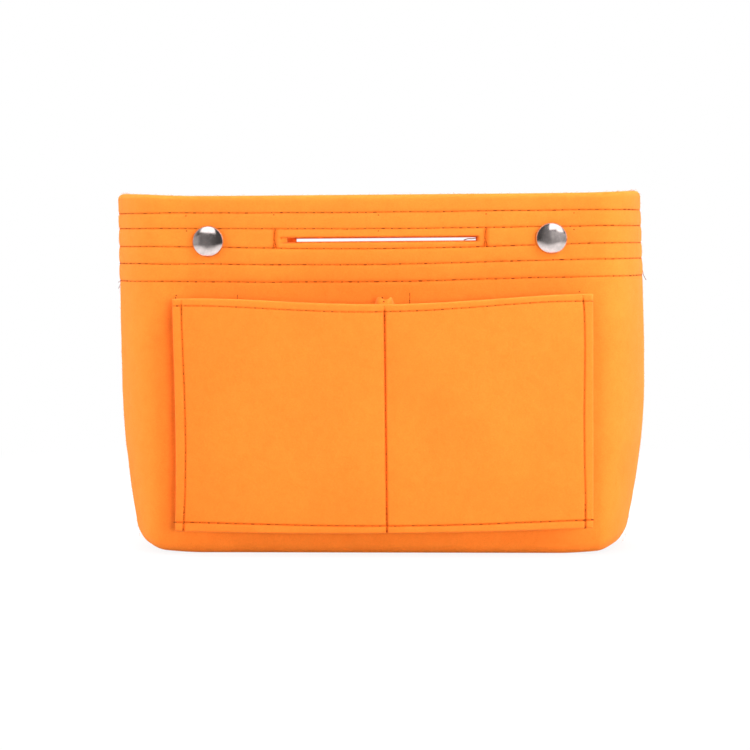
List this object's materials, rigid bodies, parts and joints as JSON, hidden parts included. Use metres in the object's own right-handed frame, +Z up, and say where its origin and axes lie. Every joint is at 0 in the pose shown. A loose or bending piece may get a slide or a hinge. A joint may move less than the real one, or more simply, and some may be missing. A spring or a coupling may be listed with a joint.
{
  "type": "felt bag organiser",
  "caption": "Open-topped felt organiser tub with rounded ends, a stiff stitched rim with hand slits, bellows pockets outside, flat pockets inside and snap fasteners.",
  "frame": {"origin": "on the surface it stands on, under the middle of the base", "axes": "+Z up, +X along the length towards the right end seen from the front, -Y out of the front wall, the one with the domed snap caps"},
  "size_m": [0.24, 0.1052, 0.1615],
  "materials": {
    "felt": "orange needle-punched felt, matte, with fine loose fibres",
    "thread": "darker orange polyester sewing thread",
    "snap_metal": "polished nickel plate"
  },
  "bodies": {
    "tub": {"base_panel": "felt", "left_end_wall": "felt", "right_end_wall": "felt", "left_rim_facing": "felt", "right_rim_facing": "felt"},
    "front_side": {"front_wall": "felt", "front_rim_facing": "felt", "front_pocket_face": "felt", "front_pocket_gusset": "felt", "front_pocket_divider": "felt", "inner_front_pocket_panel": "felt", "front_snap_cap_left": "snap_metal", "front_snap_cap_right": "snap_metal", "front_snap_socket_left": "snap_metal", "front_snap_socket_right": "snap_metal"},
    "back_side": {"back_wall": "felt", "back_rim_facing": "felt", "back_pocket_face": "felt", "back_pocket_gusset": "felt", "back_pocket_divider": "felt", "inner_back_pocket_panel": "felt", "back_snap_eyelet_left": "snap_metal", "back_snap_eyelet_right": "snap_metal", "back_snap_stud_left": "snap_metal", "back_snap_stud_right": "snap_metal"}
  },
  "joints": [
    {"name": "front_wall_lean", "type": "hinge", "parent": "tub", "child": "front_side", "pos_m": [0, -0.034, 0.0012], "axis": [-1, 0, 0], "range_deg": [-6, 12.5], "stiffness_Nm_per_rad": 0.8},
    {"name": "back_wall_lean", "type": "hinge", "parent": "tub", "child": "back_side", "pos_m": [0, 0.034, 0.0012], "axis": [1, 0, 0], "range_deg": [-6, 12.5], "stiffness_Nm_per_rad": 0.8}
  ]
}
